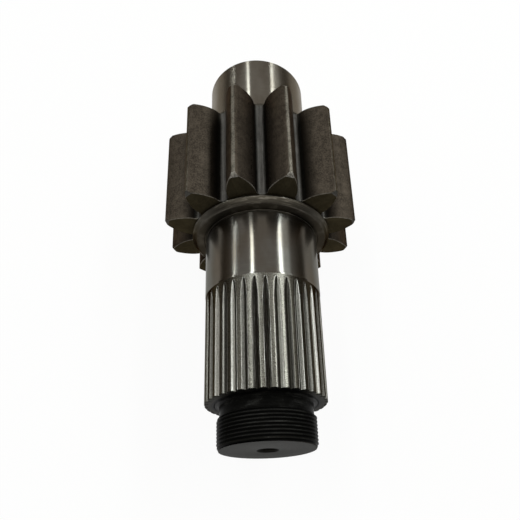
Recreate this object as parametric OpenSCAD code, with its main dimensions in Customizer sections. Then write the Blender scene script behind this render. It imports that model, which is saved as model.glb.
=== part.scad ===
// Pinion shaft: a spur pinion cut in one piece with its shaft.
// It lies on two of its teeth, with its axis along +Y and its threaded end to the front.
// A gap between two teeth points straight up and another straight down.

/* [Thread] */
// Outside diameter of the fine thread for the lock nut, drawn smooth here
thread_d = 56; // [54:0.5:60]
// Length of the threaded stretch
thread_len = 17.5; // [10:0.5:30]
// Length of the chamfer where the nut starts
thread_chamfer_len = 2.2; // [0.5:0.1:3]
// How much that chamfer takes off the thread's radius
thread_chamfer_drop = 1; // [0.5:0.1:2.5]
// Diameter of the relief between the thread and the spline
relief_d = 53; // [48:0.5:53.5]
// Length of the relief
relief_len = 7.5; // [4:0.5:12]
// Radius of the corner between the relief and the spline's end face
relief_corner = 1.5; // [0.5:0.1:2.5]

/* [Spline] */
// Outside diameter of the spline
spline_d = 69.6; // [66:0.1:69.8]
// Length from the spline's end face to the journal
spline_len = 66; // [40:0.5:100]
// Number of spline teeth
spline_teeth = 36; // [24:1:40]
// Depth of a groove
spline_depth = 2.2; // [1.2:0.1:3]
// Width of a groove at the outside diameter
spline_gap_w = 3.1; // [2.6:0.1:3.6]
// Slope of a groove's flank from the radial line
spline_flank = 20; // [10:1:25]
// Size of the bevel along both sides of a groove's floor
spline_floor_bevel = 0.4; // [0.1:0.1:0.4]
// Radius of the cutter that lifts out at the end of each groove
spline_cutter_r = 45; // [25:1:60]
// Plain stretch between the groove tips and the journal
spline_plain = 1.6; // [0.5:0.1:6]
// Width of the chamfer on the spline's end
spline_chamfer = 0.6; // [0.2:0.1:1.5]
// Angle from the upper gap of the pinion to the nearest groove
spline_turn = 1; // [0:0.5:10]

/* [Bearing journal] */
// Diameter of the ground journal between the spline and the collar
journal_d = 70; // [70:0.5:74]
// Length of the journal, its undercut included
journal_len = 41.5; // [20:0.5:80]
// Length of the lead-in at the journal's front edge
journal_lead = 0.8; // [0.3:0.1:2]
// Width of the grinding undercut at the collar
undercut_w = 1.5; // [1.2:0.1:4]
// Depth of the undercut in the journal
undercut_depth = 0.4; // [0.2:0.1:1]
// Depth of the undercut in the collar's face, which keeps the corner of the bearing clear
undercut_face = 0.3; // [0.1:0.1:0.6]
// How far the undercut reaches up the collar's face
undercut_reach = 1.6; // [1.2:0.1:2.5]

/* [Collars] */
// Diameter of the raised collar between the journal and the pinion
collar_d = 87.2; // [86:0.2:92]
// Length from that collar's flat face to the pinion
collar_len = 4.8; // [4.8:0.1:10]
// Width of the chamfer on the collar's front
collar_chamfer = 2.9; // [0.5:0.1:2.9]
// Length of the slope on the collar's back
collar_back = 0.9; // [0.3:0.1:0.9]
// Length of the low step between that slope and the pinion
hub_len = 0.8; // [0.3:0.1:0.9]
// How far the low step and the far collar stay below the roots of the teeth
root_step = 0.2; // [0.1:0.1:1]
// Length of the collar behind the pinion
far_collar_len = 3.5; // [2:0.1:10]
// Width of the chamfer on the collar behind the pinion
far_collar_chamfer = 1.5; // [0.5:0.1:1.8]

/* [Pinion] */
// Module of the teeth
gear_module = 8; // [8:0.25:10]
// Number of teeth
gear_teeth = 12; // [12:1:14]
// Pressure angle
pressure_angle = 20; // [18:1:22]
// Profile shift, in modules
profile_shift = 0.7; // [0.5:0.05:0.75]
// How much is turned off the tips, to leave the teeth a flat land
tip_trim = 0.8; // [0.5:0.1:3]
// Depth of the teeth below the pitch circle without profile shift, in modules
dedendum = 1.4; // [1.3:0.05:1.4]
// Radius on the tip of the tooth cutter, which leaves the root fillets
cutter_tip_r = 2.4; // [1.5:0.1:2.6]
// Width of the toothed face
face_w = 66.9; // [30:0.1:120]
// Width of the chamfer on the tooth tips at both faces
tip_chamfer = 1.8; // [0.5:0.1:4]

/* [Far journal] */
// Diameter of the ground journal behind the pinion
far_journal_d = 65; // [55:0.5:70]
// Length of the far journal
far_journal_len = 48.8; // [20:0.1:100]
// Width of the chamfer on the far journal's end
far_journal_chamfer = 1.2; // [0.5:0.1:3]

/* [Lathe centres] */
// Mouth of the 60 degree lathe centre in both ends
centre_mouth_d = 13.2; // [8:0.1:17]
// Drilled pilot below the centre's cone
centre_pilot_d = 6.3; // [3:0.1:7.5]
// Length of the drilled pilot
centre_pilot_len = 6; // [3:0.5:12]

/* [Hidden] */
$fn = 120;

// How far a cutting shape reaches past the surface that it cuts
over = 1;
// Points along a tooth's root fillet and along its involute flank
fillet_steps = 5;
flank_steps = 6;
// Half the included angle of a lathe centre, and of a drill's point
centre_half_angle = 30;
drill_half_angle = 59;

// Stations along the axis, from the threaded end
spline_z = thread_len + relief_len;
journal_z = spline_z + spline_len;
collar_z = journal_z + journal_len;
face_z = collar_z + collar_len;
far_face_z = face_z + face_w;
far_journal_z = far_face_z + far_collar_len;
total_len = far_journal_z + far_journal_len;

thread_r = thread_d / 2;
relief_r = relief_d / 2;
spline_r = spline_d / 2;
journal_r = journal_d / 2;
collar_r = collar_d / 2;
far_journal_r = far_journal_d / 2;

// Circles of the pinion
pitch_r = gear_module * gear_teeth / 2;
base_r = pitch_r * cos(pressure_angle);
root_r = pitch_r - gear_module * (dedendum - profile_shift);
tip_r = pitch_r + gear_module * (1 + profile_shift) - tip_trim;
hub_r = root_r - root_step;

// Half of the angle that a tooth takes at the pitch circle
pitch_half_angle = 90 / gear_teeth
    + 2 * profile_shift * tan(pressure_angle) / gear_teeth * 180 / PI;

// The involute function, in degrees
function involute(a) = tan(a) * 180 / PI - a;

// Half of the angle that a tooth takes at radius r
function tooth_half_angle(r) =
    pitch_half_angle + involute(pressure_angle) - involute(acos(base_r / r));

// Angle of the flank from the middle of the gap beside it, at radius r
function flank_angle(r) = 180 / gear_teeth - tooth_half_angle(r);

// The rounded corner of the rack cutter, seen from the pitch point:
// its depth, its distance from the middle of the gap, and where it meets the flank
corner_depth = (dedendum - profile_shift) * gear_module - cutter_tip_r;
corner_side = PI * gear_module / 4
    - (dedendum * gear_module - cutter_tip_r) * tan(pressure_angle)
    - cutter_tip_r / cos(pressure_angle);
corner_travel = corner_depth / tan(pressure_angle);

// A point of the root fillet after the cutter's corner has travelled by u: [radius, angle]
function fillet_point(u) =
    let (reach = sqrt(u * u + corner_depth * corner_depth))
    let (side = u + cutter_tip_r * u / reach)
    let (height = pitch_r - corner_depth - cutter_tip_r * corner_depth / reach)
    [
        sqrt(side * side + height * height),
        atan2(side, height) - (u - corner_side) / pitch_r * 180 / PI
    ];

join_r = fillet_point(corner_travel)[0];

// One side of a gap, from its root to just past the tip circle: [radius, angle] each
gap_side = concat(
    [for (i = [0 : fillet_steps]) fillet_point(corner_travel * i / fillet_steps)],
    [for (i = [1 : flank_steps])
        let (r = join_r + (tip_r - join_r) * i / flank_steps) [r, flank_angle(r)]],
    [[tip_r + tip_trim / 3, flank_angle(tip_r + tip_trim / 3)]]
);
side_count = len(gap_side);

// Height of the axis above the ground when the part lies on two teeth
rest_h = tip_r * cos(180 / gear_teeth - tooth_half_angle(tip_r));

// Outline of the gear, gap by gap
module gear_outline() {
    polygon([
        for (k = [0 : gear_teeth - 1])
            for (i = [0 : 2 * side_count - 1])
                let (left = i < side_count)
                let (p = gap_side[left ? side_count - 1 - i : i - side_count])
                let (a = k * 360 / gear_teeth + (left ? -p[1] : p[1]))
                [p[0] * sin(a), -p[0] * cos(a)]
    ]);
}

// Toothed stretch: the gear outline inside a turned blank with chamfered tips
module toothed_stretch() {
    intersection() {
        translate([0, 0, face_z])
            linear_extrude(face_w) gear_outline();
        rotate_extrude()
            polygon([
                [0, face_z], [tip_r - tip_chamfer, face_z],
                [tip_r, face_z + tip_chamfer], [tip_r, far_face_z - tip_chamfer],
                [tip_r - tip_chamfer, far_face_z], [0, far_face_z]
            ]);
    }
}

// Half section of the threaded end and its relief, up to the spline's end face
module thread_section() {
    difference() {
        polygon([
            [0, 0], [thread_r - thread_chamfer_drop, 0], [thread_r, thread_chamfer_len],
            [thread_r, spline_z], [0, spline_z]
        ]);
        translate([relief_r, thread_len])
            square([thread_r, relief_len - relief_corner]);
        translate([relief_r + relief_corner, thread_len])
            square([thread_r, relief_len + over]);
        translate([relief_r + relief_corner, spline_z - relief_corner])
            circle(relief_corner);
    }
}

// Half section of the spline blank, the journal and the collar
module middle_section() {
    undercut_r = journal_r - undercut_depth;
    undercut_top = undercut_r + undercut_reach;
    hub_z = face_z - hub_len;
    polygon([
        [0, spline_z], [spline_r - spline_chamfer, spline_z],
        [spline_r, spline_z + spline_chamfer], [spline_r, journal_z],
        [journal_r, journal_z + journal_lead], [journal_r, collar_z - undercut_w],
        [undercut_r, collar_z - undercut_w + undercut_depth],
        [undercut_r, collar_z + undercut_face], [undercut_top - undercut_face, collar_z + undercut_face],
        [undercut_top, collar_z], [collar_r - collar_chamfer, collar_z],
        [collar_r, collar_z + collar_chamfer], [collar_r, hub_z - collar_back],
        [hub_r, hub_z], [hub_r, face_z + over], [0, face_z + over]
    ]);
}

// Half section of the collar and the journal behind the pinion
module far_section() {
    polygon([
        [0, far_face_z - over], [hub_r, far_face_z - over],
        [hub_r, far_journal_z - far_collar_chamfer],
        [hub_r - far_collar_chamfer, far_journal_z],
        [far_journal_r, far_journal_z],
        [far_journal_r, total_len - far_journal_chamfer],
        [far_journal_r - far_journal_chamfer, total_len], [0, total_len]
    ]);
}

// Section of a spline groove, from its floor at 0 outwards along +X
module groove_section() {
    slope = tan(spline_flank);
    top = spline_depth + over;
    floor_half = spline_gap_w / 2 - spline_depth * slope;
    top_half = floor_half + top * slope;
    bevel_half = floor_half + spline_floor_bevel * slope;
    flat_half = floor_half - spline_floor_bevel;
    polygon([
        [0, -flat_half], [spline_floor_bevel, -bevel_half], [top, -top_half],
        [top, top_half], [spline_floor_bevel, bevel_half], [0, flat_half]
    ]);
}

// One groove of the spline, with the hollow that the cutter leaves as it lifts out
module spline_groove() {
    floor_r = spline_r - spline_depth;
    lift_len = sqrt(pow(spline_cutter_r, 2) - pow(spline_cutter_r - spline_depth, 2));
    straight_end = journal_z - spline_plain - lift_len;
    lift_angle = acos(1 - (spline_depth + over) / spline_cutter_r);
    translate([0, 0, spline_z - over])
        linear_extrude(straight_end - spline_z + over)
            translate([floor_r, 0]) groove_section();
    translate([floor_r + spline_cutter_r, 0, straight_end])
        rotate([90, 0, 180])
            rotate_extrude(angle = lift_angle)
                translate([spline_cutter_r, 0]) mirror([1, 0]) groove_section();
}

// Lathe centre, with its mouth at the origin and its pilot towards +Z
module lathe_centre() {
    mouth_r = centre_mouth_d / 2;
    pilot_r = centre_pilot_d / 2;
    cone_len = (mouth_r - pilot_r) / tan(centre_half_angle);
    pilot_end = cone_len + centre_pilot_len;
    rotate_extrude()
        polygon([
            [0, -over], [mouth_r, -over], [mouth_r, 0], [pilot_r, cone_len],
            [pilot_r, pilot_end], [0, pilot_end + pilot_r / tan(drill_half_angle)]
        ]);
}

// The whole part on its own axis, from the threaded end at 0 towards +Z
module shaft_on_axis() {
    difference() {
        union() {
            rotate_extrude() {
                thread_section();
                middle_section();
                far_section();
            }
            toothed_stretch();
        }
        for (k = [0 : spline_teeth - 1])
            rotate([0, 0, spline_turn - 90 + k * 360 / spline_teeth])
                spline_groove();
        lathe_centre();
        translate([0, 0, total_len])
            mirror([0, 0, 1]) lathe_centre();
    }
}

// The part as it lies, with its lowest teeth on the ground and its middle over the origin
module pinion_shaft() {
    color([0.34, 0.33, 0.31])
        translate([0, -total_len / 2, rest_h])
            rotate([-90, 0, 0])
                shaft_on_axis();
}

pinion_shaft();
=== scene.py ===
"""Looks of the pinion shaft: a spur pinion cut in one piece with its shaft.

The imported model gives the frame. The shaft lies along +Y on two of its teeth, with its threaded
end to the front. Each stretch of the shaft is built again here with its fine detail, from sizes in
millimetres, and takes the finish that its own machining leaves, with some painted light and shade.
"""

from __future__ import annotations

import logging
import math
from dataclasses import dataclass, field
from enum import IntEnum
from typing import Sequence

import bmesh
import bpy
import numpy as np
from mathutils import Matrix, Vector


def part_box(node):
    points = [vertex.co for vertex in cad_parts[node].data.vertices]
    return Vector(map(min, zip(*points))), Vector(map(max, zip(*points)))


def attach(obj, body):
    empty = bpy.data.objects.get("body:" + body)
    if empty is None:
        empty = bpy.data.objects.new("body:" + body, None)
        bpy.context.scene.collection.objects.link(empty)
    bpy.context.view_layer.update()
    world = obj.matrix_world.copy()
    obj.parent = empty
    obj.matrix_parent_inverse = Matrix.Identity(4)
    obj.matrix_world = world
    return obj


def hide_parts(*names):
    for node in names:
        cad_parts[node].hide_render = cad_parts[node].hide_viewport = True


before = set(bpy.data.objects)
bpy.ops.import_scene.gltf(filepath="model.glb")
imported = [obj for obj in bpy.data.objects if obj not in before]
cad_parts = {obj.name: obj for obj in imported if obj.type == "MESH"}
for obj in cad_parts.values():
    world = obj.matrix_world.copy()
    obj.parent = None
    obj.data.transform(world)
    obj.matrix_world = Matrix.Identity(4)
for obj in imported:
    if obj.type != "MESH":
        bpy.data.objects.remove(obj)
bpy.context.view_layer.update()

log = logging.getLogger("pinion_shaft")
NODE = "pinion_shaft"
BODY = "root"

MM = 0.001
# Points nearer than this are welded
WELD = 0.001 * MM
# The average of a fractal noise
MEAN = 0.5
# How far the middle of a small rounding stands back from its corner, as a share of the radius
ARC_MIDDLE = 0.3
# The largest share of a straight that one arc takes
MAX_ARC = 0.45
# The sockets of the colour mix, whose names repeat
MIX_FACTOR, MIX_LOW, MIX_HIGH, MIX_RESULT = 0, 6, 7, 2
# The turn of the brushing that blurs reflections along the shaft
ALONG_SHAFT = 0.25
# Points round an end face
FACE_COUNT = 120

Colour = tuple[float, float, float]
Ramp = tuple[float, float]
Profile = list[tuple[float, float]]
Values = float | np.ndarray
Outline = tuple[np.ndarray, np.ndarray]
Socket = bpy.types.NodeSocket
Piece = bpy.types.Object


class Zone(IntEnum):
    """The zones of the pieces. Each is the number of its material slot in its own piece."""

    BODY = 0
    DARK = 1
    CONE = 2
    BACK_EDGE = 2
    FLOOR = 2
    END_FACE = 3
    END_RING = 4
    ROOT = 0
    FLANK = 1
    LAND = 2
    BEVEL = 4
    TIP = 5
    FILLET = 6


@dataclass(frozen=True)
class Axis:
    """The shaft's own axis in the row frame.

    Along is measured in mm from the threaded end, radius in mm from the axis, and turn in radians
    from straight up towards +X.
    """

    start: float
    height: float
    length: float

    @classmethod
    def from_frame(cls) -> Axis:
        """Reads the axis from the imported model's box."""
        low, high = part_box(NODE)
        return cls(low.y / MM, (low.z + high.z) / 2 / MM, (high.y - low.y) / MM)

    def points(self, along: Values, radius: Values, turn: Values) -> np.ndarray:
        """Places points given on the shaft into a piece's own frame, with the shaft along +Z.

        Args:
            along: Distances from the threaded end, in mm.
            radius: Distances from the axis, in mm.
            turn: Angles from straight up towards +X, in radians.

        Returns:
            One row of x, y, z in metres for each point.
        """
        along, radius, turn = np.broadcast_arrays(along, radius, turn)
        return np.stack([radius * np.sin(turn), -radius * np.cos(turn), along], axis=-1) * MM

    def seat(self) -> Matrix:
        """Gives the matrix from a piece's own frame to the row frame."""
        lay = Matrix.Rotation(math.radians(-90), 4, "X")
        return Matrix.Translation((0.0, self.start * MM, self.height * MM)) @ lay


@dataclass(frozen=True)
class Corner:
    """A corner of a turned profile, with the radius that rounds it, in mm."""

    along: float
    radius: float
    rounding: float = 0.0


# The lathe centre of both ends, from its mouth in the end face inwards
CENTRE = (
    Corner(0.0, 6.6, 0.15), Corner(5.97558, 3.15, 0.1), Corner(11.97558, 3.15),
    Corner(13.86829, 0.01),
)


def between(one: np.ndarray, other: np.ndarray) -> float:
    """The angle between two directions of length 1, in radians."""
    return math.acos(max(-1.0, min(1.0, float(one @ other))))


def rounded(corners: Sequence[Corner], steps: int) -> Profile:
    """Rounds the corners of a turned profile with arcs.

    Args:
        corners: The profile's corners, from its start to its end.
        steps: Points of each arc less one.

    Returns:
        The profile's points as (along, radius).
    """
    places = [np.array([corner.along, corner.radius]) for corner in corners]
    out = [tuple(places[0])]
    for before, here, after, corner in zip(places, places[1:], places[2:], corners[1:]):
        back, on = before - here, after - here
        most = MAX_ARC * min(np.linalg.norm(back), np.linalg.norm(on))
        back, on = back / np.linalg.norm(back), on / np.linalg.norm(on)
        half = between(back, on) / 2
        if corner.rounding <= 0:
            out.append(tuple(here))
            continue
        reach = min(corner.rounding / math.tan(half), most)
        size = reach * math.tan(half)
        middle = here + (back + on) / np.linalg.norm(back + on) * (size / math.sin(half))
        start, end = here + back * reach - middle, here + on * reach - middle
        sweep = between(start / size, end / size)
        for share in np.linspace(0.0, 1.0, steps + 1):
            one, other = math.sin((1 - share) * sweep), math.sin(share * sweep)
            out.append(tuple(middle + (one * start + other * end) / math.sin(sweep)))
    return out + [tuple(places[-1])]


@dataclass
class Skin:
    """A mesh of quads between rings that all have the same number of points."""

    axis: Axis
    points: list[np.ndarray] = field(default_factory=list)
    faces: list[tuple[int, ...]] = field(default_factory=list)
    slots: list[int] = field(default_factory=list)
    count: int = 0

    def ring(self, along: Values, radius: Values, turn: np.ndarray) -> np.ndarray:
        """Adds a ring of points.

        Args:
            along: Distances from the threaded end, in mm, or one for the whole ring.
            radius: Distances from the axis, in mm, or one for the whole ring.
            turn: The points' angles, in radians.

        Returns:
            The numbers of the new points.
        """
        first = self.count
        self.points.append(self.axis.points(along, radius, turn))
        self.count += len(turn)
        return np.arange(first, self.count)

    def quad(self, corners: Sequence[int], slot: int = 0) -> None:
        """Adds one quad."""
        self.faces.append(tuple(int(corner) for corner in corners))
        self.slots.append(int(slot))

    def bridge(self, one: np.ndarray, other: np.ndarray, slots: int | np.ndarray = 0) -> None:
        """Joins two closed rings with quads.

        Args:
            one: The first ring's points.
            other: The second ring's points.
            slots: The material slot, or one for each quad.
        """
        corners = (one, np.roll(one, -1), np.roll(other, -1), other)
        for *quad, slot in zip(*corners, np.broadcast_to(slots, len(one))):
            self.quad(quad, slot)

    def build(self, name: str, finishes: Sequence[Finish], sharp_deg: float = 32.0) -> Piece:
        """Makes the piece.

        Args:
            name: The piece's name.
            finishes: The finish of each material slot.
            sharp_deg: Edges that turn by more than this stay sharp.

        Returns:
            The new object, in the scene and riding on the part.
        """
        mesh = bpy.data.meshes.new(name)
        mesh.from_pydata(np.concatenate(self.points).tolist(), [], self.faces)
        mesh.polygons.foreach_set("material_index", self.slots)
        shape = bmesh.new()
        shape.from_mesh(mesh)
        bmesh.ops.remove_doubles(shape, verts=shape.verts, dist=WELD)
        bmesh.ops.recalc_face_normals(shape, faces=shape.faces)
        shape.to_mesh(mesh)
        shape.free()
        mesh.polygons.foreach_set("use_smooth", [True] * len(mesh.polygons))
        mesh.set_sharp_from_angle(angle=math.radians(sharp_deg))
        for finish in finishes:
            mesh.materials.append(finish.material())
        piece = bpy.data.objects.new(name, mesh)
        piece.matrix_world = self.axis.seat()
        bpy.context.scene.collection.objects.link(piece)
        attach(piece, BODY)
        return piece


def revolve(axis: Axis, name: str, corners: Sequence[Corner], finishes: Sequence[Finish],
            steps: int = 4, count: int = 288,
            zones: Sequence[tuple[float, int]] = ((math.inf, 0),)) -> Piece:
    """Turns a profile round the axis.

    Args:
        axis: The shaft's axis.
        name: The piece's name.
        corners: The profile's corners.
        finishes: The finish of each material slot.
        steps: Points of each rounding less one.
        count: Points round the shaft.
        zones: Pairs of a distance along the shaft, and the material slot of what ends before it.

    Returns:
        The new piece.
    """
    skin = Skin(axis)
    turn = np.linspace(0, 2 * math.pi, count, endpoint=False)
    profile = rounded(corners, steps)
    rings = [skin.ring(along, radius, turn) for along, radius in profile]
    for one, other, (along, _) in zip(rings, rings[1:], profile[1:]):
        skin.bridge(one, other, next(slot for limit, slot in zones if along < limit))
    return skin.build(name, finishes)


@dataclass(frozen=True)
class Shade:
    """A number on the surface: a shader socket in an expression that adds its own Math nodes."""

    board: Board
    socket: Socket

    def math(self, operation: str, *values: Shade | float) -> Shade:
        """Adds a Math node with the values as its inputs in order."""
        node = self.board.add("ShaderNodeMath", {"operation": operation}, dict(enumerate(values)))
        return Shade(self.board, node.outputs[0])

    def __add__(self, other: Shade | float) -> Shade:
        """Sum."""
        return self.math("ADD", self, other)

    __radd__ = __add__

    def __sub__(self, other: Shade | float) -> Shade:
        """Difference."""
        return self.math("SUBTRACT", self, other)

    def __rsub__(self, other: float) -> Shade:
        """Difference from a plain number."""
        return self.math("SUBTRACT", other, self)

    def __mul__(self, other: Shade | float) -> Shade:
        """Product."""
        return self.math("MULTIPLY", self, other)

    __rmul__ = __mul__

    def __truediv__(self, other: Shade | float) -> Shade:
        """Quotient."""
        return self.math("DIVIDE", self, other)

    def __rtruediv__(self, other: float) -> Shade:
        """Quotient of a plain number."""
        return self.math("DIVIDE", other, self)

    def __pow__(self, other: float) -> Shade:
        """Power."""
        return self.math("POWER", self, other)

    def size(self) -> Shade:
        """The value without its sign."""
        return self.math("ABSOLUTE", self)

    def least(self, other: Shade | float) -> Shade:
        """The smaller of two values."""
        return self.math("MINIMUM", self, other)

    def most(self, other: Shade | float) -> Shade:
        """The larger of two values."""
        return self.math("MAXIMUM", self, other)

    def swing(self, by: float) -> Shade:
        """A noise's difference from its average, times a factor."""
        return (self - MEAN) * by

    def rise(self, low: float, high: float) -> Shade:
        """Smooth step.

        Args:
            low: Where the result is 0.
            high: Where the result is 1.

        Returns:
            A value from 0 to 1.
        """
        settings = {"interpolation_type": "SMOOTHSTEP"}
        inputs = {"Value": self, "From Min": low, "From Max": high}
        return Shade(self.board, self.board.add("ShaderNodeMapRange", settings, inputs).outputs[0])


@dataclass(frozen=True)
class Board:
    """The nodes of one material or world."""

    tree: bpy.types.NodeTree

    def feed(self, node: bpy.types.Node, inputs: dict) -> None:
        """Sets or links a node's inputs.

        Args:
            node: The node.
            inputs: A value, a Shade or a socket for each input, by name or by number.
        """
        for name, value in inputs.items():
            if isinstance(value, Shade):
                value = value.socket
            if isinstance(value, Socket):
                self.tree.links.new(value, node.inputs[name])
            else:
                node.inputs[name].default_value = value

    def add(self, kind: str, settings: dict, inputs: dict) -> bpy.types.Node:
        """Adds one node.

        Args:
            kind: The node's type.
            settings: Its properties, set first.
            inputs: A value, a Shade or a socket for each input, by name or by number.

        Returns:
            The node.
        """
        node = self.tree.nodes.new(kind)
        for name, value in settings.items():
            setattr(node, name, value)
        self.feed(node, inputs)
        return node

    def vector(self, operation: str, one: Socket, other: Socket | Colour) -> Socket:
        """Adds a Vector Math node and returns its vector."""
        node = self.add("ShaderNodeVectorMath", {"operation": operation}, {0: one, 1: other})
        return node.outputs["Vector"]

    def mix(self, share: Shade, low: Socket | Colour, high: Socket | Colour) -> Socket:
        """Mixes two colours.

        Args:
            share: 0 gives the first colour and 1 the second.
            low: The first colour.
            high: The second colour.

        Returns:
            The mixed colour.
        """
        low, high = ((*c, 1.0) if isinstance(c, tuple) else c for c in (low, high))
        inputs = {MIX_FACTOR: share, MIX_LOW: low, MIX_HIGH: high}
        return self.add("ShaderNodeMix", {"data_type": "RGBA"}, inputs).outputs[MIX_RESULT]

    def noise(self, place: Place, scale: float, detail: float = 3.0, across: float = 1.0,
              along: float = 1.0) -> Shade:
        """Fractal noise.

        Args:
            place: Where it is read.
            scale: Grains for each mm.
            detail: Octaves.
            across: What the coordinates across the shaft are multiplied by first.
            along: What the coordinate along the shaft is multiplied by first.

        Returns:
            The noise, about MEAN on average.
        """
        scaled = self.vector("MULTIPLY", place.point, (across, across, along))
        inputs = {"Vector": scaled, "Scale": scale, "Detail": detail}
        return Shade(self, self.add("ShaderNodeTexNoise", {}, inputs).outputs["Fac"])

    def rings(self, place: Place, scale: float) -> Shade:
        """Fine rings round the axis.

        Args:
            place: Where they are read.
            scale: Rings for each mm.

        Returns:
            The noise, about MEAN on average.
        """
        inputs = {"W": place.radius, "Scale": scale, "Detail": 4.0}
        node = self.add("ShaderNodeTexNoise", {"noise_dimensions": "1D"}, inputs)
        return Shade(self, node.outputs["Fac"])


@dataclass(frozen=True)
class Place:
    """Where a point of the surface is on the shaft.

    Side is 0 over and under the axis and 1 at its level. Turn is in degrees from straight up.
    """

    point: Socket
    radius: Shade
    side: Shade
    turn: Shade

    @classmethod
    def of(cls, board: Board) -> Place:
        """Measures the place in mm, from the axis at the threaded end.

        Args:
            board: The material's nodes.

        Returns:
            The place.
        """
        coords = board.add("ShaderNodeTexCoord", {}, {}).outputs["Object"]
        point = board.vector("MULTIPLY", coords, (1 / MM, 1 / MM, 1 / MM))
        parts = board.add("ShaderNodeSeparateXYZ", {}, {0: point})
        x, y = (Shade(board, parts.outputs[i]) for i in range(2))
        radius = (x * x + y * y) ** 0.5
        turn = x.math("ARCTAN2", x, y * -1) * math.degrees(1)
        return cls(point, radius, x.size() / radius, turn)

    def near(self, turns: Sequence[float], full: float, reach: float) -> Shade:
        """Soft bands along the shaft.

        Args:
            turns: The bands' angles, in degrees.
            full: Where a band begins to fade, in degrees from its middle.
            reach: Where it has faded out, in degrees from its middle.

        Returns:
            1 in the middle of each band, 0 outside.
        """
        nearest = (self.turn - turns[0]).size()
        for turn in turns[1:]:
            nearest = nearest.least((self.turn - turn).size())
        return 1 - nearest.rise(full, reach)


# What a finish draws: its colour, its roughness and the height of its relief
Surface = tuple[Socket, Shade, Shade]


@dataclass(frozen=True)
class Finish:
    """A metal surface. The subclasses say how their machining shows.

    Tones are the darkest and the lightest share of the colour, and depth is the relief's in mm.
    """

    name: str
    colour: Colour
    roughness: float = 0.35
    metal: float = 1.0
    gloss: float = 0.5
    brushed: float = 0.0
    edge_tint: Colour = (0.3, 0.27, 0.22)
    tones: tuple[float, float] = (0.6, 1.35)
    depth: float = 0.01

    def material(self) -> bpy.types.Material:
        """Makes the material once and finds it again by its name.

        Returns:
            The material.
        """
        known = bpy.data.materials.get(self.name)
        if known:
            return known
        made = bpy.data.materials.new(self.name)
        made.use_nodes = True
        board = Board(made.node_tree)
        colour, rough, height = self.paint(board, Place.of(board))
        relief = {"Height": height, "Distance": self.depth * MM, "Strength": 1.0}
        bump = board.add("ShaderNodeBump", {}, relief)
        board.feed(made.node_tree.nodes["Principled BSDF"], {
            "Base Color": colour,
            "Roughness": rough,
            "Normal": bump.outputs["Normal"],
            "Metallic": self.metal,
            "Specular IOR Level": self.gloss,
            "Specular Tint": (*self.edge_tint, 1.0),
            "Anisotropic": self.brushed,
            "Anisotropic Rotation": ALONG_SHAFT,
        })
        return made

    def paint(self, board: Board, place: Place) -> Surface:
        """Draws the surface.

        Args:
            board: The material's nodes.
            place: Where the point is on the shaft.

        Returns:
            The colour, the roughness and the height of the relief.
        """
        raise NotImplementedError

    def times(self, share: float) -> Colour:
        """The finish's colour times a share."""
        red, green, blue = self.colour
        return red * share, green * share, blue * share

    def toned(self, board: Board, share: Shade) -> Socket:
        """Mixes the finish's darkest and lightest tone."""
        return board.mix(share, self.times(self.tones[0]), self.times(self.tones[1]))


@dataclass(frozen=True)
class Ground(Finish):
    """Ground steel: fine lines round the shaft, a thin brown tarnish in patches, and a painted
    dark reflection in a band along each side.
    """

    tones: tuple[float, float] = (0.84, 1.12)
    depth: float = 0.0008
    film_and_shade: Colour = (0.12, 0.095, 0.07)
    film_and_shade_share: float = 0.5
    # Painted dark reflection: its colour and share in the band along each side
    painted_side_reflection: Colour = (0.06, 0.047, 0.03)
    painted_side_share: float = 0.6

    def paint(self, board: Board, place: Place) -> Surface:
        """Draws grinding lines, wide streaks along the shaft, the tarnish and the painted dark
        reflection on the sides.

        Args:
            board: The material's nodes.
            place: Where the point is on the shaft.

        Returns:
            The colour, the roughness and the height of the relief.
        """
        lines = board.noise(place, 0.5, detail=4.0, across=0.12, along=9.0)
        coarse = board.noise(place, 0.25, across=0.1, along=5.0)
        patches = board.noise(place, 0.07, along=0.5).rise(0.4, 0.68)
        rubs = board.noise(place, 0.9, detail=2.0, along=0.05).rise(0.52, 0.8)
        steel = self.toned(board, lines.rise(0.3, 0.75))
        # Painted dark reflection: a band part way down each side, where the metal mirrors dark
        # surroundings
        band = place.side.rise(0.4, 0.65) * place.side.rise(0.92, 0.8)
        side_painted = board.mix(band * self.painted_side_share, steel, self.painted_side_reflection)
        filmed = board.mix(patches * self.film_and_shade_share, side_painted, self.film_and_shade)
        rough = self.roughness + coarse.swing(0.06) + patches * 0.015 + rubs * 0.02
        return filmed, rough, lines


@dataclass(frozen=True)
class Toothed(Finish):
    """Case-hardened tooth steel: a dark grain with streaks along the teeth, with painted shade
    down the flanks towards the roots and towards the sides.
    """

    tones: tuple[float, float] = (0.6, 1.5)
    depth: float = 0.012
    grained: float = 0.3
    streaked: float = 0.4
    painted_side_shade: float = 0.0
    painted_root_shade: float = 0.0
    root_mm: Ramp = (56.0, 45.0)

    def paint(self, board: Board, place: Place) -> Surface:
        """Draws the grain, the streaks, worn lighter patches, and painted shade towards the roots
        and the sides.

        Args:
            board: The material's nodes.
            place: Where the point is on the shaft.

        Returns:
            The colour, the roughness and the height of the relief.
        """
        grain, mottle = board.noise(place, 1.3), board.noise(place, 0.3)
        streaks = board.noise(place, 1.3, along=0.05)
        rubs = board.noise(place, 0.1).rise(0.45, 0.75)
        spots = grain.swing(3.5) + mottle.swing(1.6)
        tone = MEAN + spots * self.grained + streaks.swing(self.streaked)
        steel = self.toned(board, tone.rise(0.1, 0.9))
        worn = board.mix(rubs * 0.35, steel, self.times(1.8))
        # Painted shade: the flanks darken towards the roots, and the steel darkens towards the
        # sides
        low = place.radius.rise(*self.root_mm) * self.painted_root_shade
        deep = board.mix(low, worn, self.times(0.25))
        shown = board.mix(place.side.rise(0.3, 0.6) * self.painted_side_shade, deep, self.times(0.2))
        rough = self.roughness + grain.swing(0.2) - rubs * 0.05
        return shown, rough, grain * 0.6 + streaks * 0.4


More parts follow.
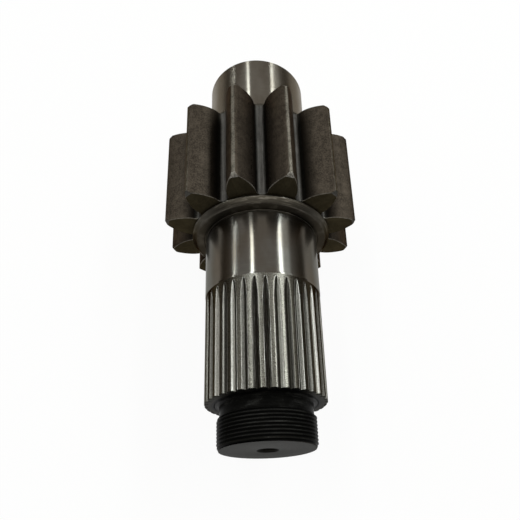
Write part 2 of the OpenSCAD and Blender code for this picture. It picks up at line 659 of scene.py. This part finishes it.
@dataclass(frozen=True)
class Turned(Finish):
    """Turned steel with tool lines and bright scuffs round the shaft, and painted shade towards
    the sides.

    A flat face has rings in place of lines. Rim is the radius in mm where a scuffed rim begins.
    """

    scuff: Colour = (0.5, 0.47, 0.41)
    scuffed: float = 1.0
    painted_side_shade: float = 0.0
    flat: bool = False
    rim: float = 0.0
    rim_reach: float = 0.8
    inner_scuffs: float = 0.25

    def paint(self, board: Board, place: Place) -> Surface:
        """Draws the tool lines, or rings on a flat face, the scuffs that cross them, and painted
        shade towards the sides.

        Args:
            board: The material's nodes.
            place: Where the point is on the shaft.

        Returns:
            The colour, the roughness and the height of the relief.
        """
        if self.flat:
            lines = board.rings(place, 1.6)
            scuffs = board.rings(place, 0.5).rise(0.5, 0.8)
        else:
            lines = board.noise(place, 0.6, across=0.1, along=6.0)
            scuffs = board.noise(place, 0.5, detail=4.0, across=0.3, along=3.0).rise(0.47, 0.68)
        patches = board.noise(place, 0.09, detail=2.0).rise(0.3, 0.55)
        steel = self.toned(board, lines.rise(0.3, 0.7))
        marks = scuffs * patches * self.scuffed
        if self.rim:
            outer = place.radius.rise(self.rim - self.rim_reach, self.rim + self.rim_reach)
            steel = board.mix(outer * 0.55, steel, self.times(1.9))
            marks *= self.inner_scuffs + outer * (1 - self.inner_scuffs)
        marked = board.mix(marks, steel, self.scuff)
        # Painted shade: darker towards the sides of the shaft
        shown = board.mix(place.side.rise(0.3, 0.75) * self.painted_side_shade, marked, self.times(0.35))
        rough = self.roughness + lines.swing(0.15) - scuffs * 0.05
        return shown, rough, lines * 0.6 + scuffs * 0.2


@dataclass(frozen=True)
class Hobbed(Finish):
    """Hobbed spline steel: a fine bright grain, with dark brown painted shade on the sides of the
    shaft, at its limbs and in streaks over the grooves on top.

    Dull and bright are the angles of grooves that take painted shade and painted highlights, in
    degrees from straight up, and band is where such a look begins to fade and has faded out.
    """

    tones: tuple[float, float] = (0.6, 1.2)
    depth: float = 0.014
    # The colour of the painted shade
    film_and_shade: Colour = (0.035, 0.03, 0.022)
    film_and_shade_share: float = 0.0
    sparkle: float = 0.5
    painted_groove_shade: float = 0.0
    dull: tuple[float, ...] = ()
    bright: tuple[float, ...] = ()
    band: Ramp = (3.5, 5.0)

    def paint(self, board: Board, place: Place) -> Surface:
        """Draws the grain and the hob's feed marks, with painted shade on the sides, over the top
        grooves and at the limbs, and painted shade and highlights on chosen grooves.

        Args:
            board: The material's nodes.
            place: Where the point is on the shaft.

        Returns:
            The colour, the roughness and the height of the relief.
        """
        grain = board.noise(place, 1.5, detail=4.0)
        speckle = board.noise(place, 3.2, detail=2.0).rise(0.5, 0.7)
        feed = board.noise(place, 0.5, along=0.12)
        stain = board.noise(place, 0.12, along=0.3).rise(0.42, 0.7)
        shade_streaks = board.noise(place, 1.9, along=0.04).rise(0.58, 0.45)
        steel = self.toned(board, grain.rise(0.35, 0.65))
        sparkling = board.mix(speckle * self.sparkle, steel, self.times(1.6))
        shown = board.mix(stain * 0.3, sparkling, self.times(0.45))
        # Painted shade: darker on the sides of the shaft, in streaks over the grooves on top, and
        # at the limbs
        sides = place.side.rise(0.25, 0.5) * self.film_and_shade_share
        tops = place.side.rise(0.26, 0.16) * shade_streaks * self.painted_groove_shade
        limbs = place.side.rise(0.84, 0.95) * 0.75
        for share in (sides, tops, limbs):
            shown = board.mix(share, shown, self.film_and_shade)
        # Painted shade on the dull grooves, and painted highlights on the bright ones
        if self.dull:
            shown = board.mix(place.near(self.dull, *self.band) * 0.62, shown, self.film_and_shade)
        if self.bright:
            shine = place.near(self.bright, *self.band) * (0.25 + speckle * 0.5)
            shown = board.mix(shine, shown, self.times(2.0))
        rough = self.roughness + grain.swing(0.3) + feed.swing(0.15)
        return shown, rough, grain * 0.6 + speckle * 0.4


@dataclass(frozen=True)
class Blackened(Finish):
    """Black oxide on turned steel, worn a little lighter in streaks round the shaft, with painted
    light on thread crests and on the sides of a face.

    A flat face has rings in place of lines. Crest is the radius in mm from which a thread's crests
    are worn lighter and take a painted highlight, and the side share paints light on the sides of
    a face.
    """

    metal: float = 0.0
    tones: tuple[float, float] = (0.7, 1.4)
    depth: float = 0.008
    # Colour of the worn streaks and of the painted light
    rubbed_and_lit: Colour = (0.045, 0.045, 0.043)
    flat: bool = False
    painted_side_share: float = 0.0
    crest: float = 0.0
    crest_reach: float = 0.3

    def paint(self, board: Board, place: Place) -> Surface:
        """Draws tool lines round a cylinder, or rings on a flat face, the worn streaks, and
        painted light on crests and on the sides of a face.

        Args:
            board: The material's nodes.
            place: Where the point is on the shaft.

        Returns:
            The colour, the roughness and the height of the relief.
        """
        grain = board.noise(place, 1.8)
        wear = board.noise(place, 0.2, across=0.6, along=1.6).rise(0.45, 0.75)
        if self.flat:
            lines = board.rings(place, 2.5)
        else:
            lines = board.noise(place, 0.4, across=0.15, along=5.0)
        tone = (lines * 0.6 + grain * 0.4).rise(0.35, 0.75)
        if self.crest:
            top = place.radius.rise(self.crest - self.crest_reach, self.crest + self.crest_reach)
            bare_and_lit = top * (0.3 + tone * 0.7) * (0.7 + wear * 0.8)
            # Painted highlight: the crests fade towards the sides, so they are lightest on top
            bare_and_lit *= 1 - place.side.rise(0.35, 0.85) * 0.75
        else:
            # Painted light: lighter towards the sides of a face, over the worn streaks
            bare_and_lit = (wear * tone).most(place.side.rise(0.5, 0.85) * self.painted_side_share)
        shown = board.mix(bare_and_lit, self.toned(board, tone), self.rubbed_and_lit)
        return shown, self.roughness + grain.swing(0.2), lines * 0.5 + grain * 0.5


@dataclass
class ThreadedEnd:
    """The threaded front end with its face, its lathe centre and the relief behind the thread.

    Groove, flank and floor are shares: half a groove's width and its flank's width of the pitch,
    and the flat floor's depth of the full depth.
    """

    axis: Axis
    radius: float = 28.0
    thread_len: float = 17.5
    pitch: float = 2.0
    depth: float = 1.15
    groove: float = 0.44
    flank: float = 0.36
    floor: float = 0.97
    first_groove: float = 2.8
    chamfer_len: float = 2.2
    chamfer_drop: float = 1.0
    back_len: float = 0.7
    back_slope: float = 1.6
    uncut: float = 0.02
    crest_depth: float = 0.45
    relief_radius: float = 26.5
    relief: tuple[Corner, ...] = (
        Corner(17.5, 25.0), Corner(17.5, 26.5), Corner(25.0, 26.5, 1.5), Corner(25.0, 29.5),
    )
    face: tuple[Corner, ...] = (Corner(0.0, 27.0), *CENTRE)
    face_zones: tuple[tuple[float, int], ...] = (
        (0.001, Zone.BODY), (6.07558, Zone.CONE), (math.inf, Zone.DARK),
    )
    count: int = 240
    samples: int = 16
    sharp_deg: float = 50.0

    def build(self) -> list[Piece]:
        """Builds the thread, the relief and the front face.

        Returns:
            The pieces.
        """
        # The thread's crests take a painted highlight, strongest on top
        black = Blackened("black_thread", (0.0035, 0.0035, 0.0033), 0.35, gloss=0.012,
                          rubbed_and_lit=(0.044, 0.044, 0.042), crest=self.radius - self.crest_depth)
        neck = Blackened("black_relief", (0.005, 0.005, 0.0048), 0.32, gloss=0.015)
        face = Blackened("black_front_face", (0.024, 0.024, 0.0215), 0.5, gloss=0.03,
                         rubbed_and_lit=(0.042, 0.041, 0.037), flat=True)
        chamfer = Blackened("black_chamfer", (0.009, 0.0085, 0.007), 0.5, gloss=0.02,
                            rubbed_and_lit=(0.034, 0.031, 0.026))
        cone = Blackened("lathe_centre", (0.01, 0.0095, 0.009), 0.4, gloss=0.06,
                         rubbed_and_lit=(0.032, 0.031, 0.028), flat=True)
        return [
            self.thread([black, chamfer]),
            revolve(self.axis, "thread_relief", self.relief, [neck], 8, self.count),
            revolve(self.axis, "front_face", self.face, [face, black, cone], 3, FACE_COUNT,
                    self.face_zones),
        ]

    def crest(self, along: np.ndarray) -> np.ndarray:
        """The radius of the turned blank that carries the thread.

        Args:
            along: Distances from the threaded end, in mm.

        Returns:
            The radius at each distance.
        """
        start = self.radius - self.chamfer_drop * (1 - along / self.chamfer_len)
        end = self.radius - (along - self.thread_len + self.back_len) * self.back_slope
        return np.minimum(np.minimum(start, end), self.radius)

    def cut(self, along: np.ndarray, turn: np.ndarray) -> np.ndarray:
        """The depth that the thread's cutter takes off.

        Args:
            along: Distances from the threaded end, in mm.
            turn: The points' angles, in radians.

        Returns:
            The depth at each point, in mm.
        """
        phase = (along - self.first_groove) / self.pitch - turn / (2 * math.pi)
        share = np.abs((phase + 0.5) % 1.0 - 0.5)
        return np.clip((self.groove - share) / self.flank, 0.0, self.floor) * self.depth

    def thread(self, finishes: Sequence[Finish]) -> Piece:
        """Builds the right-hand thread as one grid that follows the helix.

        Args:
            finishes: The finishes of the thread and of the chamfer at its start.

        Returns:
            The new piece.
        """
        skin = Skin(self.axis)
        turn = np.linspace(0, 2 * math.pi, self.count, endpoint=False)
        pitches = math.ceil(self.thread_len / self.pitch) + 2
        grid, zones = [], []
        for row in range(-self.samples, pitches * self.samples + 1):
            turns = row / self.samples - 1 + turn / (2 * math.pi)
            along = np.clip(self.first_groove + self.pitch * turns, 0.0, self.thread_len)
            cut = self.cut(along, turn)
            radius = np.minimum(self.radius - cut, self.crest(along))
            radius = np.where(along >= self.thread_len, self.relief_radius, radius)
            chamfered = (along < self.chamfer_len) & (cut < self.uncut)
            grid.append(skin.ring(along, radius, turn))
            zones.append(chamfered)
        for low, high, slots in zip(grid, grid[1:], zones):
            for *corners, slot in zip(low, low[1:], high[1:], high, slots):
                skin.quad(corners, slot)
        # The last column meets the first one a turn further on
        far = grid[self.samples:]
        for low, high, far_low, far_high in zip(grid, grid[1:], far, far[1:]):
            skin.quad((low[-1], far_low[0], far_high[0], high[-1]))
        return skin.build("front_thread", finishes, self.sharp_deg)


@dataclass
class Spline:
    """The splined stretch: straight grooves that run out in points before the journal.

    Levels are the heights of a groove's points as shares of its depth, and the first ones are its
    floor. Widths gives half the cutter's width in mm at shares of the depth.
    """

    axis: Axis
    start: float = 25.0
    end: float = 91.0
    radius: float = 34.8
    teeth: int = 36
    depth: float = 2.2
    cutter: float = 45.0
    plain: float = 1.6
    chamfer: float = 0.6
    turn_deg: float = 1.0
    black_radius: float = 30.8
    inner_radius: float = 29.0
    edge: float = 0.3
    levels: tuple[float, ...] = (0.0, 0.02, 0.06, 0.13, 0.22, 0.4, 0.65, 0.86, 0.94, 1.0)
    floor_levels: int = 4
    widths: tuple[tuple[float, float], ...] = (
        (0.0, 0.0), (0.02, 0.18), (0.06, 0.36), (0.13, 0.54),
        (0.22, 0.68), (0.86, 1.38), (0.94, 1.5), (1.0, 1.62),
    )
    land_points: int = 3
    straight_steps: int = 6
    lift_steps: int = 16
    sharp_deg: float = 38.0

    def outline(self, travel: float, limit: float) -> Outline:
        """The spline's outline where the cutter has lifted.

        Args:
            travel: How far past the end of the full depth, in mm.
            limit: The largest radius, in mm.

        Returns:
            The radius and the angle of each point, from a groove's middle on.
        """
        top = max(self.cutter - math.hypot(self.cutter - self.depth, travel), 0.0)
        height = np.minimum(np.array(self.levels) * self.depth, top)
        reach = np.sqrt(np.maximum((self.cutter - height) ** 2 - travel**2, 0.0))
        width = np.interp(height / self.depth, *zip(*self.widths))
        corner = self.edge * min(1.0, top)
        half_r = self.radius - self.depth + self.cutter - reach
        half_r[-1] -= corner
        half_r = np.append(half_r, [self.radius - ARC_MIDDLE * corner, self.radius])
        half_w = np.append(width, width[-1] + self.edge * np.array([ARC_MIDDLE, 1.0]))
        half_a = half_w / self.radius
        pitch = 2 * math.pi / self.teeth
        land = np.linspace(half_a[-1], pitch - half_a[-1], self.land_points + 2)[1:-1]
        one_a = np.concatenate([-half_a[::-1], [0.0], half_a, land])
        one_r = np.concatenate([half_r[::-1], half_r[:1], half_r, np.full(len(land), self.radius)])
        first = math.radians(self.turn_deg)
        angles = [one_a + first + k * pitch for k in range(self.teeth)]
        return np.minimum(np.tile(one_r, self.teeth), limit), np.concatenate(angles)

    def zones(self) -> np.ndarray:
        """The zone of each stretch of the outline.

        Returns:
            The material slots.
        """
        flank = [Zone.FLANK] * (len(self.levels) - self.floor_levels + 2)
        floor = [Zone.FLOOR] * (2 * self.floor_levels)
        land = [Zone.BODY] * (self.land_points + 1)
        return np.tile(np.array(flank + floor + flank + land), self.teeth)

    def stations(self) -> list[tuple[float, float, float]]:
        """The places of the outlines behind the end face.

        Returns:
            The distance along the shaft, the cutter's travel and the largest radius of each.
        """
        half = self.chamfer / 2
        lift = math.sqrt(self.cutter**2 - (self.cutter - self.depth) ** 2)
        straight = self.end - self.plain - lift
        alongs = np.linspace(self.start, straight, self.straight_steps + 1)[1:]
        lifts = lift * np.sin(np.linspace(0, math.pi / 2, self.lift_steps + 1))[1:]
        return [
            (self.start + half, 0.0, self.radius - half),
            (self.start + self.chamfer, 0.0, self.radius),
            *((along, 0.0, self.radius) for along in alongs),
            *((straight + travel, travel, self.radius) for travel in lifts),
        ]

    def build(self) -> list[Piece]:
        """Builds the splined stretch with its end face.

        Returns:
            The piece, in a list.
        """
        # Painted shade on the lands' sides and over the top grooves; painted shade and highlights
        # on chosen grooves
        land = Hobbed("spline_land", (0.18, 0.174, 0.154), 0.3, film_and_shade_share=0.9, sparkle=0.8)
        flank = Hobbed("spline_flank", (0.42, 0.415, 0.395), 0.36, sparkle=0.9, painted_groove_shade=0.92,
                       dull=(-59.0, -39.0, 21.0, 41.0, 61.0), bright=(-49.0, -29.0, 11.0, 51.0))
        floor = Hobbed("spline_floor", (0.022, 0.02, 0.016), 0.5)
        # The spline's end face takes painted light on its sides
        face = Blackened("spline_end_face", (0.003, 0.003, 0.003), 0.5, gloss=0.03,
                         rubbed_and_lit=(0.034, 0.033, 0.029), flat=True, painted_side_share=1.0)
        black = Blackened("black_end_ring", (0.002, 0.002, 0.002), 0.5, gloss=0.05,
                          rubbed_and_lit=(0.003, 0.003, 0.003), flat=True)
        skin = Skin(self.axis)
        radius, turn = self.outline(0.0, self.radius - self.chamfer)
        ends = (self.inner_radius, self.black_radius, radius)
        inner, edge, last = (skin.ring(self.start, r, turn) for r in ends)
        skin.bridge(inner, edge, Zone.END_RING)
        skin.bridge(edge, last, Zone.END_FACE)
        for along, travel, limit in self.stations():
            radius, turn = self.outline(travel, limit)
            ring = skin.ring(along, radius, turn)
            chamfered = along <= self.start + self.chamfer
            skin.bridge(last, ring, Zone.END_FACE if chamfered else self.zones())
            last = ring
        skin.bridge(last, skin.ring(self.end, self.radius, turn), Zone.BODY)
        return [skin.build("spline", [land, flank, floor, face, black], self.sharp_deg)]


@dataclass
class Journal:
    """The ground bearing journal, with its undercut, and the collar against its bearing."""

    axis: Axis
    journal: tuple[Corner, ...] = (
        Corner(91.0, 33.8), Corner(91.0, 34.8), Corner(91.8, 35.0, 0.6), Corner(131.0, 35.0, 0.12),
        Corner(131.4, 34.6, 0.2), Corner(132.8, 34.6, 0.3), Corner(132.8, 35.2),
    )
    journal_zones: tuple[tuple[float, int], ...] = (
        (91.72, Zone.DARK), (131.2, Zone.BODY), (math.inf, Zone.DARK),
    )
    collar: tuple[Corner, ...] = (
        Corner(132.8, 35.0), Corner(132.8, 35.9, 0.1), Corner(132.5, 36.2, 0.1),
        Corner(132.5, 40.7, 1.6), Corner(135.4, 43.6, 2.6), Corner(135.6, 43.6, 0.5),
        Corner(136.5, 42.2, 0.15), Corner(137.8, 42.2),
    )
    collar_zones: tuple[tuple[float, int], ...] = (
        (132.8, Zone.DARK), (135.6, Zone.BODY), (136.5, Zone.BACK_EDGE), (math.inf, Zone.BODY),
    )
    rim: float = 42.4

    def build(self) -> list[Piece]:
        """Builds the journal and the collar.

        Returns:
            The pieces.
        """
        # The ground journals take the painted dark reflection on their sides
        ground = Ground("ground_journal", (0.185, 0.18, 0.168), 0.185, brushed=1.0,
                        edge_tint=(0.5, 0.5, 0.48))
        # The collar finishes take painted shade towards the sides
        dark = Turned("collar_face", (0.1, 0.09, 0.074), 0.45, scuffed=0.3, painted_side_shade=0.85)
        turned = Turned("turned_collar", (0.105, 0.097, 0.081), 0.36, painted_side_shade=0.85, rim=self.rim)
        edge = Turned("collar_back_edge", (0.2, 0.18, 0.15), 0.3, painted_side_shade=0.6)
        return [
            revolve(self.axis, "bearing_journal", self.journal, [ground, dark],
                    zones=self.journal_zones),
            revolve(self.axis, "front_collar", self.collar, [turned, dark, edge], 5,
                    zones=self.collar_zones),
        ]


@dataclass
class Pinion:
    """The toothed stretch, with bevelled tips and thin bevels along the ends of the flanks.

    Tip_bevel gives how far the tips stand below their full radius at depths from an end face, in
    mm, and its first bands are the bevel.
    """

    axis: Axis
    start: float = 137.3
    end: float = 204.2
    module: float = 8.0
    teeth: int = 12
    pressure: float = math.radians(20)
    shift: float = 0.7
    dedendum: float = 1.4
    cutter_round: float = 2.4
    tip_trim: float = 0.8
    tip_bevel: tuple[tuple[float, float], ...] = (
        (0.0, 1.8), (0.2, 1.6), (0.4, 1.4), (1.2, 0.6), (1.65, 0.19), (1.95, 0.0),
    )
    bevel: float = 0.4
    bevel_slope: float = 0.8
    bevel_bands: int = 2
    bevel_from: float = 0.5
    bevel_over: float = 1.8
    edge: float = 0.3
    hub_overlap: float = 1.2
    fillet_points: int = 12
    root_points: int = 5
    flank_points: int = 14
    land_points: int = 3
    middle_steps: int = 6
    sharp_deg: float = 30.0

    @property
    def pitch_radius(self) -> float:
        """Radius of the pitch circle."""
        return self.module * self.teeth / 2

    @property
    def tip_radius(self) -> float:
        """Radius over the tips."""
        return self.pitch_radius + self.module * (1 + self.shift) - self.tip_trim

    @property
    def root_radius(self) -> float:
        """Radius at the roots."""
        return self.pitch_radius - self.module * (self.dedendum - self.shift)

    def tooth_half_angle(self, radius: np.ndarray) -> np.ndarray:
        """Half of the angle that a tooth takes.

        Args:
            radius: Where, in mm from the axis.

        Returns:
            The angle at each radius, in radians.
        """
        at_pitch = (math.pi / 2 + 2 * self.shift * math.tan(self.pressure)) / self.teeth
        there = np.arccos(self.pitch_radius * math.cos(self.pressure) / radius)
        involute = math.tan(self.pressure) - self.pressure
        return at_pitch + involute - (np.tan(there) - there)

    def fillet(self) -> Outline:
        """The root fillet that the cutter's rounded corner leaves.

        Returns:
            Radii, and angles from the middle of the gap.
        """
        ball = self.cutter_round
        deep = (self.dedendum - self.shift) * self.module - ball
        side = math.pi * self.module / 4 - ball / math.cos(self.pressure)
        side -= (self.dedendum * self.module - ball) * math.tan(self.pressure)
        travel = np.linspace(0, deep / math.tan(self.pressure), self.fillet_points)
        reach = np.hypot(travel, deep)
        across = travel + ball * travel / reach
        up = self.pitch_radius - deep - ball * deep / reach
        angle = np.arctan2(across, up) - (travel - side) / self.pitch_radius
        return np.hypot(across, up), angle

    def outline(self, limit: float) -> Outline:
        """The gear's outline, from the middle of a gap on.

        Args:
            limit: The largest radius there, in mm.

        Returns:
            The radius and the angle of each point.
        """
        gap = math.pi / self.teeth
        fillet_r, fillet_a = self.fillet()
        flank_r = np.linspace(fillet_r[-1], limit - self.edge, self.flank_points)[1:]
        corner = gap - self.tooth_half_angle(limit)
        middle = self.edge * ARC_MIDDLE
        land_a = np.linspace(corner + self.edge / limit, gap, self.land_points)
        half_r = np.concatenate(
            [fillet_r, flank_r, [limit - middle], np.full(self.land_points, limit)])
        half_a = np.concatenate(
            [fillet_a, gap - self.tooth_half_angle(flank_r), [corner + middle / limit], land_a])
        one_r = np.concatenate([[self.root_radius], half_r, half_r[-2::-1]])
        one_a = np.concatenate([[0.0], half_a, 2 * gap - half_a[-2::-1]])
        angles = [one_a + k * 2 * gap for k in range(self.teeth)]
        return np.tile(one_r, self.teeth), np.concatenate(angles)

    def zones(self) -> np.ndarray:
        """The zone of each stretch of the outline.

        Returns:
            The material slots.
        """
        half = [Zone.ROOT] * self.root_points
        half += [Zone.FILLET] * (self.fillet_points - self.root_points)
        half += [Zone.FLANK] * self.flank_points
        half += [Zone.LAND] * self.land_points
        return np.tile(np.array(half + half[::-1]), self.teeth)

    def inset(self, radius: np.ndarray, turn: np.ndarray, by: float) -> Outline:
        """Moves an outline inwards, and less near the roots.

        Args:
            radius: The outline's radii.
            turn: The outline's angles.
            by: How far, in mm.

        Returns:
            The new radii and angles.
        """
        x, y = radius * np.sin(turn), radius * np.cos(turn)
        dx, dy = np.roll(x, -1) - np.roll(x, 1), np.roll(y, -1) - np.roll(y, 1)
        share = np.clip((radius - self.root_radius - self.bevel_from) / self.bevel_over, 0.0, 1.0)
        move = by * share / np.hypot(dx, dy)
        x, y = x + move * dy, y - move * dx
        return np.hypot(x, y), np.unwrap(np.arctan2(x, y))

    def stations(self) -> list[tuple[float, np.ndarray, np.ndarray]]:
        """The outlines from one end face to the other.

        Returns:
            The distance along the shaft, the radii and the angles of each.
        """
        rings = []
        for depth, drop in self.tip_bevel:
            outline = self.outline(self.tip_radius - drop)
            by = max(self.bevel - depth, 0.0) * self.bevel_slope
            rings.append((depth, *self.inset(*outline, by)))
        middles = np.linspace(0.0, self.end - self.start, self.middle_steps + 1)[1:-1]
        return [
            *((self.start + depth, *outline) for depth, *outline in rings),
            *((self.start + middle, *rings[-1][1:]) for middle in middles),
            *((self.end - depth, *outline) for depth, *outline in reversed(rings)),
        ]

    def build(self) -> list[Piece]:
        """Builds the toothed stretch.

        Returns:
            The piece, in a list.
        """
        # Painted shade: tooth_flank darkens towards the roots and tooth_tip towards the sides
        finishes = [
            Toothed("tooth_root", (0.08, 0.076, 0.072), 0.55, grained=0.2, streaked=1.0),
            Toothed("tooth_flank", (0.06, 0.049, 0.039), 0.56, grained=0.5, painted_root_shade=0.85),
            Toothed("tooth_land", (0.1, 0.09, 0.076), 0.4, grained=0.5),
            Toothed("tooth_end_face", (0.05, 0.042, 0.026), 0.75, grained=0.2, streaked=0.1),
            Toothed("tooth_bevel", (0.13, 0.12, 0.105), 0.4, grained=0.6),
            Toothed("tooth_tip", (0.25, 0.24, 0.22), 0.5, grained=0.9, painted_side_shade=0.9),
            # Painted shade: the fillets are near-black, for the shade in the crease beside each
            # root
            Toothed("tooth_fillet_shade", (0.026, 0.024, 0.021), 0.55),
        ]
        skin = Skin(self.axis)
        stations = self.stations()
        rings = [skin.ring(*station) for station in stations]
        flat = self.zones()
        tipped = np.where(flat == Zone.LAND, Zone.TIP, flat)
        kept = (tipped == Zone.TIP) | (tipped == Zone.ROOT)
        bevelled = np.where(kept, tipped, Zone.BEVEL)
        for k, (one, other) in enumerate(zip(rings, rings[1:])):
            from_end = min(k, len(rings) - 2 - k)
            if from_end < self.bevel_bands:
                skin.bridge(one, other, bevelled)
            else:
                skin.bridge(one, other, tipped if from_end < len(self.tip_bevel) - 1 else flat)
        for k in (0, -1):
            along, _, turn = stations[k]
            inner = skin.ring(along, self.root_radius - self.hub_overlap, turn)
            skin.bridge(rings[k], inner, Zone.END_FACE)
        return [skin.build("pinion_teeth", finishes, self.sharp_deg)]


@dataclass
class FarEnd:
    """The collar and the ground journal behind the pinion, with the far face."""

    axis: Axis
    collar: tuple[Corner, ...] = (
        Corner(203.7, 42.2), Corner(206.2, 42.2, 0.3), Corner(207.7, 40.7, 0.25),
        Corner(207.7, 32.2),
    )
    journal: tuple[Corner, ...] = (
        Corner(207.7, 32.7), Corner(207.7, 32.5), Corner(255.3, 32.5, 0.25),
        Corner(256.5, 31.3, 0.25), Corner(256.5, 30.3),
    )
    face: tuple[Corner, ...] = (
        Corner(256.5, 30.4), *(Corner(256.5 - c.along, c.radius, c.rounding) for c in CENTRE),
    )

    def build(self) -> list[Piece]:
        """Builds the far collar, journal and face.

        Returns:
            The pieces.
        """
        turned = Turned("far_collar_steel", (0.1, 0.092, 0.078), 0.4, scuffed=0.25, flat=True)
        # This journal also takes the painted dark reflection on its sides
        ground = Ground("ground_far_journal", (0.26, 0.242, 0.216), 0.2, brushed=1.0,
                        edge_tint=(0.6, 0.57, 0.52))
        face = Turned("far_face_steel", (0.14, 0.135, 0.125), 0.4, scuffed=0.25, flat=True)
        return [
            revolve(self.axis, "far_collar", self.collar, [turned]),
            revolve(self.axis, "far_journal", self.journal, [ground]),
            revolve(self.axis, "far_face", self.face, [face], 3, FACE_COUNT),
        ]


@dataclass(frozen=True)
class Lamp:
    """A long soft lamp over the shaft, parallel to it. Its sizes are in metres."""

    name: str
    angle_deg: float
    width: float
    radiance: float
    distance: float = 1.6
    length: float = 2.4
    middle: float = 0.75
    colour: Colour = (0.94, 1.0, 0.98)

    def build(self, axis: Axis) -> None:
        """Hangs the lamp at its angle from straight up, facing the shaft.

        Args:
            axis: The shaft's axis.
        """
        data = bpy.data.lights.new(self.name, "AREA")
        data.shape = "RECTANGLE"
        data.size = self.width
        data.size_y = self.length
        data.energy = self.radiance * math.pi * self.width * self.length
        data.color = self.colour
        lamp = bpy.data.objects.new(self.name, data)
        angle = math.radians(self.angle_deg)
        out = Vector((math.sin(angle), 0.0, math.cos(angle)))
        right = Vector((math.cos(angle), 0.0, -math.sin(angle)))
        turned = Matrix((right, out.cross(right), out)).transposed().to_4x4()
        place = out * self.distance + Vector((0.0, self.middle, axis.height * MM))
        lamp.matrix_world = Matrix.Translation(place) @ turned
        bpy.context.scene.collection.objects.link(lamp)


@dataclass(frozen=True)
class Camera:
    """The camera that took the photograph, fitted to the shaft's edges. Its place is in metres."""

    place: tuple[float, float, float] = (-0.008, -0.1767, 0.33727)
    down_deg: float = 67.8
    heading_deg: float = 9.905
    roll_deg: float = -7.994
    focal_px: float = 506.54
    centre_px: tuple[float, float] = (283.92, 342.29)
    frame_px: float = 520.0
    sensor: float = 36.0
    clip: tuple[float, float] = (0.01, 50.0)

    def build(self) -> None:
        """Makes the scene's camera."""
        data = bpy.data.cameras.new("camera")
        data.sensor_width = self.sensor
        data.lens = self.focal_px / self.frame_px * self.sensor
        data.shift_x = 0.5 - self.centre_px[0] / self.frame_px
        data.shift_y = self.centre_px[1] / self.frame_px - 0.5
        data.clip_start, data.clip_end = self.clip
        camera = bpy.data.objects.new("camera", data)
        down, heading = math.radians(self.down_deg), math.radians(self.heading_deg)
        level = Vector((math.sin(heading), math.cos(heading), 0.0))
        ahead = level * math.cos(down) - Vector((0.0, 0.0, math.sin(down)))
        right = ahead.cross(Vector((0.0, 0.0, 1.0))).normalized()
        roll = Matrix.Rotation(math.radians(self.roll_deg), 3, ahead)
        turned = Matrix((roll @ right, roll @ right.cross(ahead), -ahead)).transposed().to_4x4()
        camera.matrix_world = Matrix.Translation(Vector(self.place)) @ turned
        bpy.context.scene.collection.objects.link(camera)
        bpy.context.scene.camera = camera


@dataclass
class Studio:
    """The white floor, the soft grey surroundings and the lamps.

    Floor_lift is the share of plain white that the camera sees in place of the lit floor.
    """

    axis: Axis
    floor_size: float = 14.0
    floor_colour: Colour = (0.9, 0.9, 0.9)
    floor_rough: float = 0.9
    floor_gloss: float = 0.1
    floor_lift: float = 0.93
    overhead: Colour = (0.5, 0.48, 0.44)
    horizon: Colour = (0.07, 0.055, 0.036)
    sky_rise: Ramp = (0.0, 0.75)
    lamps: tuple[Lamp, ...] = (
        Lamp("left_lamp", -20.0, 0.15, 9.0),
        Lamp("right_lamp", 35.5, 0.18, 10.0),
        Lamp("thin_lamp", -56.0, 0.045, 12.0),
        Lamp("right_glow", 47.0, 0.4, 0.75),
    )

    def build(self) -> None:
        """Builds the surroundings."""
        self.floor()
        self.world()
        for lamp in self.lamps:
            lamp.build(self.axis)

    def floor(self) -> None:
        """Lays the floor, white to the camera and in reflections but for the part's shadow."""
        half = self.floor_size / 2
        mesh = bpy.data.meshes.new("floor")
        corners = [(-half, -half, 0), (half, -half, 0), (half, half, 0), (-half, half, 0)]
        mesh.from_pydata(corners, [], [(0, 1, 2, 3)])
        made = bpy.data.materials.new("floor")
        made.use_nodes = True
        board = Board(made.node_tree)
        shader = made.node_tree.nodes["Principled BSDF"]
        board.feed(shader, {
            "Base Color": (*self.floor_colour, 1.0),
            "Roughness": self.floor_rough,
            "Specular IOR Level": self.floor_gloss,
        })
        path = board.add("ShaderNodeLightPath", {}, {})
        rays = ("Is Camera Ray", "Is Glossy Ray", "Is Transmission Ray")
        camera, gloss, through = (Shade(board, path.outputs[name]) for name in rays)
        share = camera.most(gloss).most(through) * self.floor_lift
        white = board.add("ShaderNodeEmission", {}, {"Strength": 1.0})
        shown = {0: share, 1: shader.outputs[0], 2: white.outputs[0]}
        mixed = board.add("ShaderNodeMixShader", {}, shown)
        board.feed(made.node_tree.nodes["Material Output"], {"Surface": mixed.outputs[0]})
        mesh.materials.append(made)
        floor = bpy.data.objects.new("floor", mesh)
        bpy.context.scene.collection.objects.link(floor)

    def world(self) -> None:
        """Makes the surroundings, darker and warmer towards the horizon."""
        world = bpy.data.worlds.new("studio")
        bpy.context.scene.world = world
        world.use_nodes = True
        board = Board(world.node_tree)
        coords = board.add("ShaderNodeTexCoord", {}, {})
        parts = board.add("ShaderNodeSeparateXYZ", {}, {0: coords.outputs["Generated"]})
        rise = Shade(board, parts.outputs["Z"]).rise(*self.sky_rise)
        sky = board.mix(rise, self.horizon, self.overhead)
        board.feed(world.node_tree.nodes["Background"], {"Color": sky, "Strength": 1.0})


def main() -> None:
    """Builds the camera, the shaft stretch by stretch and the studio."""
    axis = Axis.from_frame()
    log.info("axis %.2f mm over the floor, %.2f mm long", axis.height, axis.length)
    Camera().build()
    stretches = (ThreadedEnd(axis), Spline(axis), Journal(axis), Pinion(axis), FarEnd(axis))
    for stretch in stretches:
        for piece in stretch.build():
            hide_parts(NODE)
            log.info("%s: %d faces", piece.name, len(piece.data.polygons))
    Studio(axis).build()
    bpy.context.scene.view_settings.view_transform = "Standard"


if __name__ == "__main__":
    logging.basicConfig(level=logging.INFO)
    main()
